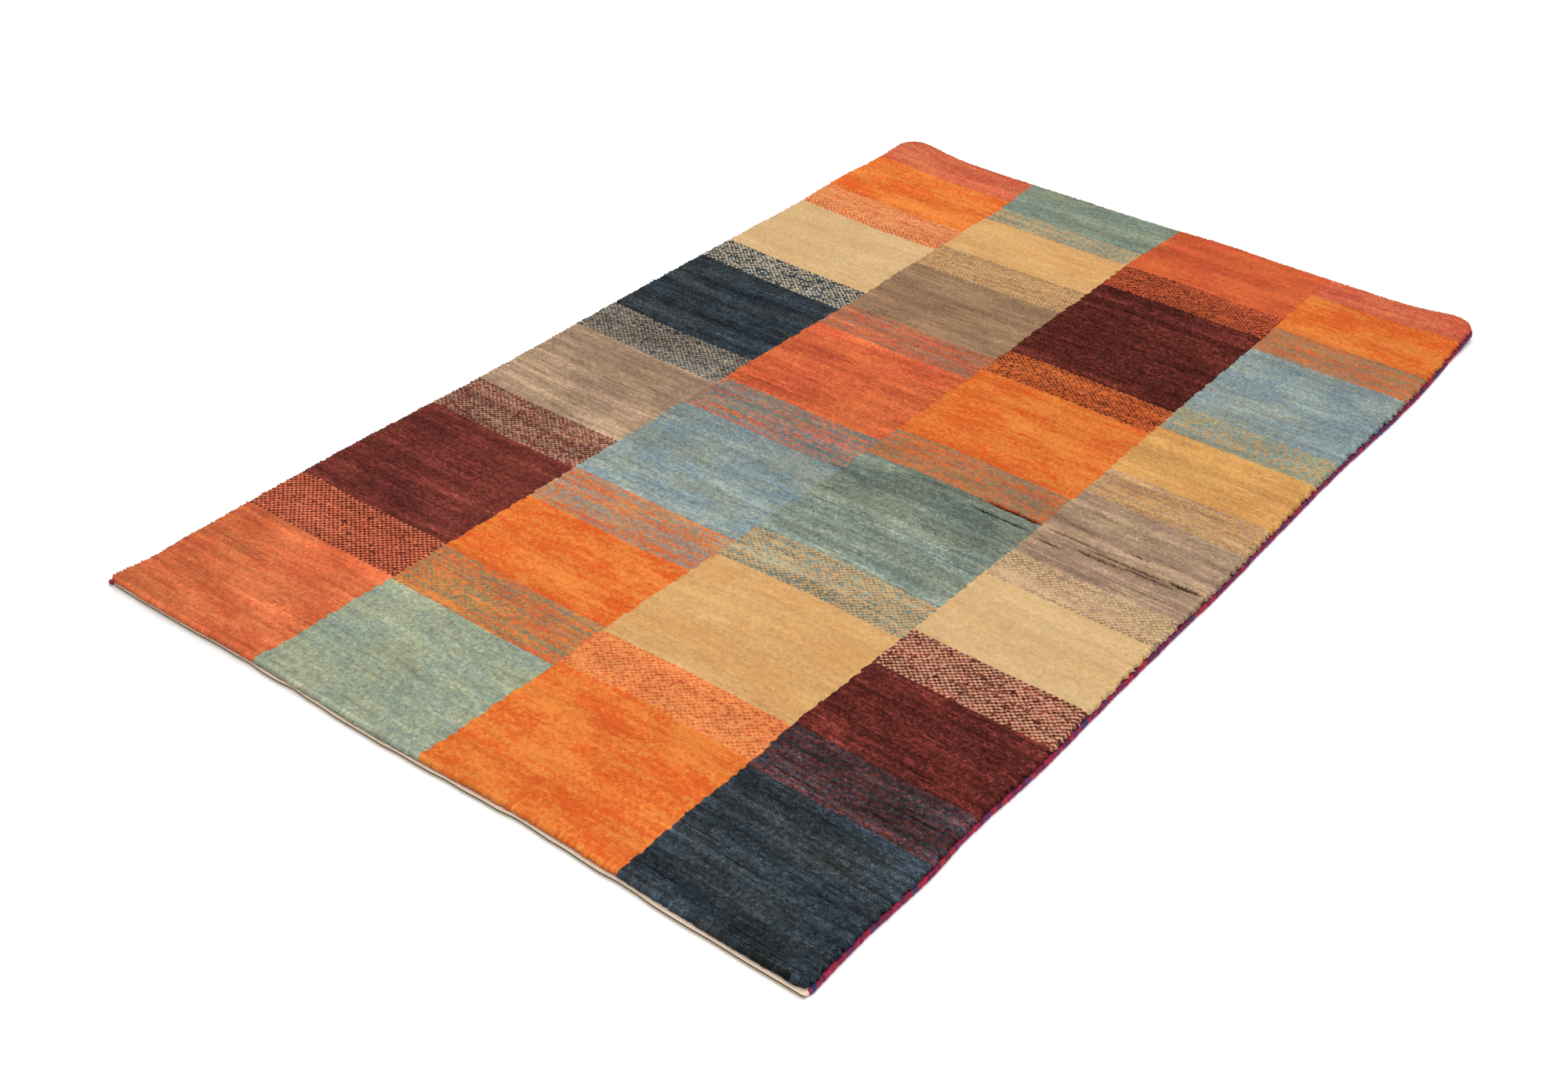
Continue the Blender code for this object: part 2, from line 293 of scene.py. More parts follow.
def outlineNormals(x, y):
    places = outlinePlaces()
    spots = numpy.array([(x[row, column], y[row, column]) for column, row in places])
    before = numpy.roll(spots, 2, axis=0)
    after = numpy.roll(spots, -2, axis=0)
    along = after - before
    normals = numpy.stack((along[:, 1], -along[:, 0]), axis=1)
    normals /= numpy.linalg.norm(normals, axis=1, keepdims=True)
    return {place: (spot, normal) for place, spot, normal in zip(places, spots, normals)}


def rimStep(spot, normal, rimRow):
    _, sideReach, endReach, hemShare = rimRow
    far = spot[1] > rug["length"] / 2.0
    pair = rug["farStandOut"] if normal[1] > 0.0 else rug["nearStandOut"]
    endReach = endReach + hemShare * float(standOut(pair, spot[0]))
    turn = math.degrees(math.atan2(abs(normal[1]), abs(normal[0])))
    start = sideTurns["far" if far else "near"]
    share = float(smoothStep((turn - start) / (hemTurn - start)))
    return normal * (sideReach + (endReach - sideReach) * share)


def turned(normal, degrees):
    angle = math.radians(degrees)
    return numpy.array((normal[0] * math.cos(angle) - normal[1] * math.sin(angle),
                        normal[0] * math.sin(angle) + normal[1] * math.cos(angle)))


def pileTops(x, y, chance):
    z = lift(x, y) + rug["pileTop"]
    for index in numpy.ndindex(x.shape):
        place = (x[index] / rug["lumpSize"][0], y[index] / rug["lumpSize"][1], 0.0)
        z[index] += rug["lumpHeight"] * noise.noise(place)
    z -= knots["valleyDepth"] + knots["valleySpread"] * chance.uniform(-1.0, 1.0, z.shape)
    shade = knots["valleyShade"] * chance.uniform(*knots["shadeSpread"], z.shape)
    for partingRow, first, last, depth, wide in partings:
        rows = slice(partingRow, partingRow + wide)
        for knot in range(first, min(last, knots["across"]) + 1):
            ease = min(1.0, (knot - first + 1) / partingEase, (last - knot + 1) / partingEase)
            z[rows, knot] -= depth * ease
            # painted shadow along the parting
            shade[rows, knot] = partingShade * ease
    return z, shade


def outOfLine(x, y, chance):
    x = x + knots["sway"] * chance.uniform(-1.0, 1.0, x.shape)
    y = y + knots["sway"] * chance.uniform(-1.0, 1.0, y.shape)
    rowCount = x.shape[0]
    pairShare, rowShare = knots["borderShares"]
    for border in knots["columnEnds"][1:-1]:
        teeth = numpy.repeat(chance.uniform(-1.0, 1.0, rowCount // 2 + 1), 2)[:rowCount]
        teeth = pairShare * teeth + rowShare * chance.uniform(-1.0, 1.0, rowCount)
        x[:, border] += crownWidth / knots["across"] * knots["borderJitter"] * teeth
    return x, y


def edgeRim(column, row, spot, normal, gapRows):
    # The rim beyond one knot of the outline: row and column, place, how much deep colour and
    # painted shade shows
    onSide = column in (0, knots["across"])
    outward = -1 if (column if onSide else row) == 0 else 1
    for level, rimRow in enumerate(pileRim, start=1):
        step = rimStep(spot, normal, rimRow)
        shade = rimShades[level - 1]
        # painted shade in the dark gaps between the side tufts
        if onSide and level in sideTeeth["gapRows"] and gapRows[int(column > 0), row]:
            step = step - normal * sideTeeth["gap"]
            shade = sideTeeth["gapShade"]
        at = (row, column + outward * level) if onSide else (row + outward * level, column)
        yield at, (*(spot + step), rimRow[0]), shade


def cornerRim(column, row, spot, normal):
    # The same round a corner, turning from the side's reach to the end's
    outColumn = -1 if column == 0 else 1
    outRow = -1 if row == 0 else 1
    end = "near" if row == 0 else "far"
    if end == "near":
        normal = numpy.array((outColumn, outRow)) / math.sqrt(2.0)
    for level, (height, sideReach, endReach, hemShare) in enumerate(pileRim, start=1):
        endReach += hemShare * float(standOut(rug[f"{end}StandOut"], spot[0]))
        steps = [(level, other) for other in range(level + 1)]
        steps += [(other, level) for other in range(level)]
        for columnStep, rowStep in steps:
            if rowStep <= columnStep:
                share = 0.5 * rowStep / columnStep
            else:
                share = 1.0 - 0.5 * columnStep / rowStep
            swing = (2.0 * share - 1.0) * cornerTurns[end] * outColumn * outRow
            direction = turned(normal, swing)
            reach = sideReach + (endReach - sideReach) * share
            if end == "near":
                reach /= math.sqrt(max(abs(direction[0]), abs(direction[1])))
            at = (row + outRow * rowStep, column + outColumn * columnStep)
            yield at, (*(spot + direction * reach), height), rimShades[level - 1]


def makeLattice():
    chance = numpy.random.RandomState(knots["seed"])
    row, column = numpy.mgrid[0:knots["along"] + 1, 0:knots["across"] + 1]
    flatAcross = columnPlaces(column, row) * crownWidth / knots["across"]
    flatAlong = row * crownLength / knots["along"]
    x, y = crownPoint(flatAcross, flatAlong)
    outline = outlineNormals(x, y)
    z, shade = pileTops(x, y, chance)
    x, y = outOfLine(x, y, chance)

    size = (x.shape[0] + 2 * rimRows, x.shape[1] + 2 * rimRows, 3)
    lattice = numpy.zeros(size)
    depths = numpy.zeros(size[:2])
    depths[rimRows:-rimRows, rimRows:-rimRows] = shade
    lattice[rimRows:-rimRows, rimRows:-rimRows] = numpy.stack((x, y, z), axis=2)
    gapRows = chance.random_sample((2, knots["along"] + 1)) < sideTeeth["gapShare"]
    for (column, row), (spot, normal) in outline.items():
        if column in (0, knots["across"]) and row in (0, knots["along"]):
            points = cornerRim(column, row, spot, normal)
        else:
            points = edgeRim(column, row, spot, normal, gapRows)
        base = float(lift(spot[0], spot[1]))
        for (atRow, atColumn), (x, y, height), shade in points:
            lattice[atRow + rimRows, atColumn + rimRows] = (x, y, base + height)
            depths[atRow + rimRows, atColumn + rimRows] = shade
    rim = numpy.ones(size[:2], dtype=bool)
    rim[rimRows:-rimRows, rimRows:-rimRows] = False
    lattice[rim] += knots["rimSpread"] * chance.uniform(-1.0, 1.0, (rim.sum(), 3))
    lattice[:, :, :2] -= rug["centre"]
    return lattice, depths, outline


lattice, depths, outline = makeLattice()
print("Knots laid out:", knots["across"], "by", knots["along"])

# Yarns: two dye lots of the tips on screen, the colour deeper in the pile (partly the wool's own,
# partly painted shade), how much single knots and whole rows vary, and how many tufts stand open
yarnRows = {
    "rust": ((224, 128, 80), (208, 102, 63), (158, 40, 24), 0.12, 0.26, 0.08),
    "deepRust": ((218, 114, 66), (196, 90, 59), (150, 40, 24), 0.15, 0.26, 0.08),
    "farRust": ((211, 104, 58), (196, 88, 54), (140, 38, 24), 0.11, 0.17, 0.08),
    "rose": ((212, 122, 82), (200, 92, 66), (160, 50, 40), 0.15, 0.18, 0.10),
    "orange": ((234, 143, 67), (219, 100, 42), (190, 52, 18), 0.06, 0.08, 0.07),
    "dullOrange": ((210, 112, 56), (198, 96, 48), (150, 50, 22), 0.10, 0.12, 0.08),
    "blush": ((238, 172, 112), (232, 160, 104), (206, 92, 40), 0.10, 0.14, 0.06),
    "paleOrange": ((232, 154, 92), (224, 136, 78), (206, 92, 40), 0.10, 0.12, 0.06),
    "bandRust": ((226, 128, 88), (214, 110, 74), (150, 48, 36), 0.12, 0.16, 0.06),
    "maroon": ((120, 57, 47), (103, 46, 41), (50, 16, 18), 0.34, 0.38, 0.08),
    "wineMaroon": ((111, 48, 40), (88, 38, 34), (42, 14, 14), 0.46, 0.56, 0.08),
    "darkMaroon": ((95, 41, 32), (77, 33, 28), (36, 14, 14), 0.52, 0.52, 0.08),
    "taupe": ((182, 154, 122), (162, 132, 112), (92, 68, 52), 0.13, 0.36, 0.08),
    "ashTaupe": ((172, 156, 132), (160, 140, 120), (80, 70, 60), 0.14, 0.20, 0.08),
    "brownTaupe": ((162, 132, 98), (148, 114, 90), (88, 62, 44), 0.12, 0.26, 0.08),
    "dustyBrown": ((146, 120, 96), (132, 104, 88), (80, 52, 40), 0.16, 0.16, 0.08),
    "navy": ((53, 64, 73), (55, 58, 58), (16, 18, 24), 0.44, 0.60, 0.08),
    "cream": ((217, 184, 136), (210, 172, 122), (170, 124, 78), 0.06, 0.06, 0.05),
    "pinkCream": ((216, 164, 132), (206, 154, 122), (170, 108, 80), 0.08, 0.06, 0.05),
    "paleGrey": ((206, 192, 162), (192, 176, 150), (112, 98, 86), 0.10, 0.06, 0.05),
    "gold": ((219, 177, 119), (212, 162, 104), (168, 104, 50), 0.06, 0.09, 0.06),
    "deepGold": ((216, 167, 99), (203, 148, 87), (160, 96, 42), 0.09, 0.14, 0.06),
    "sage": ((175, 177, 144), (153, 165, 148), (48, 74, 70), 0.18, 0.16, 0.11),
    "duskSage": ((146, 138, 100), (126, 132, 106), (76, 70, 52), 0.16, 0.14, 0.10),
    "greySage": ((148, 152, 126), (124, 139, 126), (48, 70, 66), 0.18, 0.20, 0.11),
    "darkSage": ((145, 150, 130), (120, 134, 126), (34, 50, 48), 0.23, 0.36, 0.11),
    "oliveBrown": ((152, 133, 100), (136, 124, 100), (68, 54, 40), 0.16, 0.16, 0.08),
    "greyBlue": ((158, 163, 149), (129, 148, 153), (52, 70, 80), 0.19, 0.20, 0.11),
    "duskBlue": ((144, 154, 134), (124, 144, 138), (52, 64, 70), 0.16, 0.14, 0.10),
    "slateBlue": ((124, 134, 120), (98, 126, 124), (48, 58, 64), 0.18, 0.16, 0.10),
}
yarns = {name: dict(zip(("colour", "other", "deep", "lively", "rows", "open"), row))
         for name, row in yarnRows.items()}
# Bands of two yarns: how mingled they are, from 0 for knots in turn, and the second one's share
bands = {
    ("maroon", "taupe"): (0.20, 0.36),
    ("bandRust", "wineMaroon"): (0.00, 0.50),
    ("ashTaupe", "navy"): (0.20, 0.56),
    ("cream", "taupe"): (0.05, 0.62),
    ("navy", "paleGrey"): (0.00, 0.36),
    ("darkMaroon", "farRust"): (0.20, 0.48),
    ("farRust", "blush"): (0.00, 0.50),
    ("blush", "farRust"): (0.60, 0.45),
    ("duskSage", "orange"): (0.85, 0.50),
    ("orange", "duskBlue"): (0.85, 0.48),
    ("slateBlue", "deepRust"): (0.90, 0.38),
    ("deepRust", "dustyBrown"): (0.90, 0.50),
    ("brownTaupe", "gold"): (0.30, 0.46),
    ("gold", "greySage"): (0.60, 0.68),
    ("paleOrange", "deepRust"): (0.10, 0.36),
    ("gold", "darkSage"): (0.30, 0.60),
    ("oliveBrown", "dullOrange"): (0.90, 0.47),
    ("dullOrange", "darkMaroon"): (0.20, 0.36),
    ("navy", "wineMaroon"): (0.60, 0.42),
    ("wineMaroon", "pinkCream"): (0.10, 0.43),
    ("taupe", "deepGold"): (0.50, 0.42),
    ("deepGold", "duskBlue"): (0.35, 0.74),
}
# The chart: for each column, from the near end, the row each block ends at and its yarn or yarns
chart = (
    ((56, "rust"), (81, "bandRust", "wineMaroon"), (144, "maroon"), (168, "maroon", "taupe"),
     (225, "taupe"), (248, "ashTaupe", "navy"), (306, "navy"), (325, "navy", "paleGrey"),
     (379, "cream"), (383, "farRust", "blush"), (402, "blush", "farRust"), (443, "orange"),
     (466, "rose")),
    ((55, "sage"), (80, "duskSage", "orange"), (121, "orange"), (145, "orange", "duskBlue"),
     (206, "greyBlue"), (231, "slateBlue", "deepRust"), (291, "deepRust"),
     (312, "deepRust", "dustyBrown"), (363, "brownTaupe"), (385, "brownTaupe", "gold"),
     (421, "gold"), (435, "gold", "greySage"), (466, "greySage")),
    ((58, "orange"), (78, "paleOrange", "deepRust"), (135, "gold"), (157, "gold", "darkSage"),
     (221, "darkSage"), (242, "oliveBrown", "dullOrange"), (301, "orange"),
     (321, "dullOrange", "darkMaroon"), (398, "darkMaroon"), (420, "darkMaroon", "farRust"),
     (466, "farRust")),
    ((56, "navy"), (80, "navy", "wineMaroon"), (120, "wineMaroon"),
     (142, "wineMaroon", "pinkCream"), (184, "cream"), (201, "cream", "taupe"), (250, "taupe"),
     (270, "taupe", "deepGold"), (308, "deepGold"), (327, "deepGold", "duskBlue"),
     (388, "greyBlue"), (411, "oliveBrown", "dullOrange"), (448, "orange"), (466, "rose")),
)
# Blocks that are not evenly light: six where one dye lot runs into another, and three that are
# one step darker all over. For column and block: how light the near end, the far end, the left
# and the right are, in steps of a tenth
dyeLots = {
    (1, 1): (1.0, 1.0, 0.9, 1.1),
    (1, 5): (1.2, 0.9, 1.0, 1.0),
    (1, 7): (0.9, 0.9, 1.0, 1.0),
    (2, 5): (1.1, 0.9, 1.0, 1.0),
    (3, 5): (1.2, 0.8, 1.0, 1.0),
    (3, 7): (0.9, 0.9, 1.0, 1.0),
    (4, 1): (0.8, 1.2, 1.0, 1.0),
    (4, 3): (0.9, 1.1, 1.0, 1.0),
    (4, 13): (0.9, 0.9, 1.0, 1.0),
}
plainLot = (1.0, 1.0, 1.0, 1.0)
wool = {
    "lightLevel": 1.22,  # how bright the studio light makes a white cloth
    "looks": {"Roughness": 0.95, "Specular IOR Level": 0.04, "Sheen Weight": 0.02,
              "Sheen Roughness": 0.5},
    "byKnot": {"knot": 1.8, "fine": 5.5, "fibre": 6.5, "streak": 2.8},  # what varies the knots
    "byRow": {"longRow": 6.4, "patch": 2.6},  # what varies whole rows
    "byDye": {"dyeKnot": 0.8, "dyeFibre": 1.6, "dyeStreak": 2.2, "dyePatch": 2.6},  # the lots
    "noises": {  # scale across and along the knots, detail, roughness
        "fine": (2.1, 2.4, 2.0, 0.5),
        "streak": (0.20, 0.80, 2.0, 0.5),
        "longRow": (0.008, 0.15, 4.0, 0.75),
        "patch": (0.045, 0.085, 2.0, 0.5),
        "dyeStreak": (0.09, 0.45, 2.0, 0.5),
        "dyePatch": (0.03, 0.06, 1.0, 0.5),
        "rowShadow": (0.035, 1.25, 1.0, 0.5),
    },
    "fibreScale": 900.0,
    "fibreDepth": 0.0004,
    "rowShadowRange": (0.60, 0.72, 1.6),  # of the noise, and how dark the painted shadow in the gaps between rows is
    "shadow": 0.85,  # how much light the deepest gaps lose
    "fleckStart": 0.68,  # where open tufts begin, less their share
    "fleckRun": 0.2,
    "fleckDepth": 0.45,
}
# How two yarns share a band
turnTaking = {
    "strayKnots": 0.02,
    "wobble": 0.30,
    "wobbleScale": 1.3,
    "slant": 0.40,  # how far the tufts of a checked band lean into the next row, in knots
    "noises": {"dash": (0.45, 1.05, 2.0, 0.5), "row": (0.03, 0.55, 1.0, 0.5)},
    "mingling": {"dash": 0.85, "row": 1.1, "stray": 0.45, "inTurn": 0.16, "share": 0.5},
    "minglingRange": (-0.20, 0.20),
}


def linearColour(colour):
    shares = []
    for level in colour:
        share = level / 255.0
        share = share / 12.92 if share <= 0.04045 else ((share + 0.055) / 1.055) ** 2.4
        shares.append(share / wool["lightLevel"])
    return (*shares, 1.0)


def put(tree, kind, inputs=None, **settings):
    node = tree.nodes.new(kind)
    for setting, value in settings.items():
        setattr(node, setting, value)
    for socket, value in (inputs or {}).items():
        if isinstance(value, bpy.types.NodeSocket):
            tree.links.new(value, node.inputs[socket])
        else:
            node.inputs[socket].default_value = value
    return node


def maths(tree, operation, first, *others):
    for other in others or (0.0,):
        first = put(tree, "ShaderNodeMath", {0: first, 1: other}, operation=operation).outputs[0]
    return first


def vectorMaths(tree, operation, first, *others):
    inputs = dict(enumerate((first, *others)))
    return put(tree, "ShaderNodeVectorMath", inputs, operation=operation).outputs[0]


def lengthened(tree, vector, factor):
    return put(tree, "ShaderNodeVectorMath", {0: vector, "Scale": factor},
               operation="SCALE").outputs[0]


def clamped(tree, value):
    return put(tree, "ShaderNodeClamp", {0: value}).outputs[0]


def ramp(tree, value, start, end, top=1.0):
    return put(tree, "ShaderNodeMapRange", {"Value": value, "From Min": start, "From Max": end,
                                            "To Max": top}).outputs[0]


def separated(tree, value, part, kind="XYZ"):
    return put(tree, f"ShaderNodeSeparate{kind}", {0: value}).outputs[part]


def whiteNoise(tree, vector):
    return put(tree, "ShaderNodeTexWhiteNoise", {"Vector": vector},
               noise_dimensions="3D").outputs


def attribute(tree, name, output="Fac"):
    return put(tree, "ShaderNodeAttribute", attribute_name=name).outputs[output]


def mixed(tree, share, first, second):
    return put(tree, "ShaderNodeMix", {0: share, 6: first, 7: second},
               data_type="RGBA").outputs[2]


def newGroup(name, inputs, outputs):
    tree = bpy.data.node_groups.new(name, "ShaderNodeTree")
    kinds = {"value": "NodeSocketFloat", "colour": "NodeSocketColor",
             "vector": "NodeSocketVector"}
    for direction, sockets in (("INPUT", inputs), ("OUTPUT", outputs)):
        for kind, labels in sockets.items():
            for label in labels:
                tree.interface.new_socket(name=label, in_out=direction, socket_type=kinds[kind])
    given = tree.nodes.new("NodeGroupInput").outputs
    return tree, given, tree.nodes.new("NodeGroupOutput").inputs


def noisesOver(tree, knotMap, noises):
    sources = {}
    for name, (across, along, detail, roughness) in noises.items():
        place = vectorMaths(tree, "MULTIPLY", knotMap, (across, along, 1.0))
        sources[name] = put(tree, "ShaderNodeTexNoise",
                            {"Vector": place, "Scale": 1.0, "Detail": detail,
                             "Roughness": roughness}).outputs[0]
    return sources


def centred(tree, value, strength):
    return maths(tree, "MULTIPLY", maths(tree, "SUBTRACT", value, 0.5), strength)


def summed(tree, sources, shares):
    return maths(tree, "ADD", *(centred(tree, sources[name], share)
                                for name, share in shares.items()))


def makeWoolTone():
    # Dyed wool, knot by knot: two dye lots, streaks along the rows, painted shadow lines between
    # rows, deep colour in the valleys that is partly the wool's own and partly painted shade, and
    # painted shadow where the depth is past 1
    tree, given, result = newGroup(
        "wool tone",
        {"vector": ("Knots", "Place"), "colour": ("Yarn", "Other lot", "Deep yarn"),
         "value": ("Depth", "Open tufts", "Lively", "Rows", "Lot")},
        {"colour": ("Colour",), "value": ("Height",)})
    chance = whiteNoise(tree, vectorMaths(tree, "FLOOR", given["Knots"]))
    fibre = put(tree, "ShaderNodeTexNoise",
                {"Vector": given["Place"], "Scale": wool["fibreScale"], "Detail": 2.0}).outputs
    sources = noisesOver(tree, given["Knots"], wool["noises"])
    sources["knot"] = chance["Value"]
    sources["fibre"] = fibre[0]
    sources["dyeKnot"] = separated(tree, chance["Color"], 1, "Color")
    sources["dyeFibre"] = separated(tree, fibre["Color"], 2, "Color")

    byKnot = summed(tree, sources, wool["byKnot"])
    # painted shadow: thin dark lines in the gaps between rows
    rowShadow = ramp(tree, sources["rowShadow"], *wool["rowShadowRange"])
    byRow = maths(tree, "SUBTRACT", summed(tree, sources, wool["byRow"]), rowShadow)
    change = maths(tree, "ADD", maths(tree, "MULTIPLY", byKnot, given["Lively"]),
                   maths(tree, "MULTIPLY", byRow, given["Rows"]))
    # painted shadow: past a depth of 1 the colour loses light, in the partings and at the foot of
    # the rim
    shadow = clamped(tree, maths(tree, "SUBTRACT", given["Depth"], 1.0))
    lit = maths(tree, "SUBTRACT", 1.0, maths(tree, "MULTIPLY", shadow, wool["shadow"]))
    level = maths(tree, "MULTIPLY", maths(tree, "POWER", math.e, change),
                  maths(tree, "ADD", given["Lot"], 1.0), lit)

    dye = clamped(tree, maths(tree, "ADD", summed(tree, sources, wool["byDye"]), 0.5))
    fleckStart = maths(tree, "SUBTRACT", wool["fleckStart"], given["Open tufts"])
    fleckEnd = maths(tree, "ADD", fleckStart, wool["fleckRun"])
    fleck = ramp(tree, sources["fine"], fleckStart, fleckEnd, wool["fleckDepth"])
    depth = clamped(tree, maths(tree, "ADD", fleck, given["Depth"]))
    dyed = mixed(tree, dye, given["Yarn"], given["Other lot"])
    toned = mixed(tree, depth, dyed, given["Deep yarn"])
    tree.links.new(lengthened(tree, toned, level), result["Colour"])
    tree.links.new(fibre[0], result["Height"])
    return tree


def makeTwoYarns():
    # Knots of two yarns in turn, or mingled in short dashes along the rows
    tree, given, result = newGroup(
        "two yarns in a band",
        {"vector": ("Knots",), "value": ("Stray knots", "Wobble", "Mingled", "Share", "Slant")},
        {"value": ("Second",)})
    drift = put(tree, "ShaderNodeTexNoise",
                {"Vector": given["Knots"], "Scale": turnTaking["wobbleScale"], "Detail": 0.0})
    offset = vectorMaths(tree, "SUBTRACT", drift.outputs["Color"], (0.5, 0.5, 0.5))
    offset = lengthened(tree, offset, given["Wobble"])
    inRow = separated(tree, vectorMaths(tree, "FRACTION", given["Knots"]), 1)
    leaned = maths(tree, "MULTIPLY", centred(tree, inRow, -1.0), given["Slant"])
    leaned = put(tree, "ShaderNodeCombineXYZ", {0: leaned}).outputs[0]
    moved = vectorMaths(tree, "ADD", vectorMaths(tree, "ADD", offset, leaned), given["Knots"])
    whole = vectorMaths(tree, "FLOOR", moved)
    stray = whiteNoise(tree, whole)["Value"]
    swap = maths(tree, "LESS_THAN", stray, given["Stray knots"])
    total = maths(tree, "ADD", separated(tree, whole, 0), separated(tree, whole, 1), swap)
    inTurn = maths(tree, "FLOORED_MODULO", total, 2.0)
    lean = centred(tree, given["Share"], 2.0)
    fewer = maths(tree, "LESS_THAN", stray, maths(tree, "ADD", lean, 1.0))
    more = maths(tree, "GREATER_THAN", stray, maths(tree, "SUBTRACT", 1.0, lean))
    inTurn = maths(tree, "MAXIMUM", maths(tree, "MULTIPLY", inTurn, fewer), more)
    sources = noisesOver(tree, given["Knots"], turnTaking["noises"])
    sources.update(stray=stray, inTurn=inTurn, share=given["Share"])
    mingled = ramp(tree, summed(tree, sources, turnTaking["mingling"]),
                   *turnTaking["minglingRange"])
    second = put(tree, "ShaderNodeMix", {0: given["Mingled"], 2: inTurn, 3: mingled}).outputs[0]
    tree.links.new(second, result["Second"])
    return tree


woolTone = makeWoolTone()
twoYarns = makeTwoYarns()


# Which of a yarn's values each socket of the wool tone takes
yarnColours = {"Yarn": "colour", "Other lot": "other", "Deep yarn": "deep"}
yarnStrengths = {"Lively": "lively", "Rows": "rows"}


def woolMaterial(name, yarn, knotUv="Knots"):
    material, tree, shader = newMaterial(name, wool["looks"])
    shader.inputs["Sheen Tint"].default_value = linearColour(yarn["colour"])
    knotMap = put(tree, "ShaderNodeUVMap", uv_map=knotUv).outputs[0]
    inputs = {"Knots": knotMap, "Place": put(tree, "ShaderNodeTexCoord").outputs["Object"],
              # the lot attribute holds the dye lots and also the painted highlight on the side
              # tufts' tips
              "Depth": attribute(tree, "depth"), "Lot": attribute(tree, "lot"),
              "Open tufts": yarn["open"]}
    inputs |= {socket: linearColour(yarn[key]) for socket, key in yarnColours.items()}
    inputs |= {socket: yarn[key] for socket, key in yarnStrengths.items()}
    tone = put(tree, "ShaderNodeGroup", node_tree=woolTone, inputs=inputs)
    bump = put(tree, "ShaderNodeBump", {"Height": tone.outputs["Height"], "Strength": 1.0,
                                        "Distance": wool["fibreDepth"]})
    tree.links.new(tone.outputs["Colour"], shader.inputs["Base Color"])
    tree.links.new(bump.outputs[0], shader.inputs["Normal"])
    return material, tree, tone, knotMap, bump


def plainWool(yarnName):
    return woolMaterial(f"{yarnName} wool", yarns[yarnName])[0]


def takenTurns(tree, knotMap, wobble, mingled, share, slant):
    return put(tree, "ShaderNodeGroup", node_tree=twoYarns,
               inputs={"Knots": knotMap, "Stray knots": turnTaking["strayKnots"],
                       "Wobble": wobble, "Mingled": mingled, "Share": share,
                       "Slant": slant}).outputs["Second"]


def mixedWool(firstName, secondName):
    first = yarns[firstName]
    second = yarns[secondName]
    material, tree, tone, knotMap, _ = woolMaterial(f"{firstName} and {secondName} wool", first)
    turns = takenTurns(tree, knotMap, turnTaking["wobble"], *bands[firstName, secondName],
                       turnTaking["slant"])
    for socket, key in yarnColours.items():
        pair = mixed(tree, turns, linearColour(first[key]), linearColour(second[key]))
        tree.links.new(pair, tone.inputs[socket])
    for socket, key in yarnStrengths.items():
        pair = put(tree, "ShaderNodeMix", {0: turns, 2: first[key], 3: second[key]}).outputs[0]
        tree.links.new(pair, tone.inputs[socket])
    return material


def finishPiece(name, build, materials):
    mesh = bpy.data.meshes.new(name)
    build.to_mesh(mesh)
    build.free()
    for material in materials:
        mesh.materials.append(material)
    mesh.shade_smooth()
    piece = placed(name, mesh)
    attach(piece, "root")
    return piece


def gridSteps(build, columnSteps, rowSteps):
    return {vertex: (round((vertex.co.x + 0.5) * columnSteps),
                     round((vertex.co.y + 0.5) * rowSteps)) for vertex in build.verts}


tipChance = numpy.random.RandomState(knots["seed"] + 1)


def withRim(first, last, end):
    return first - rimRows * (first == 0), last + rimRows * (last == end)


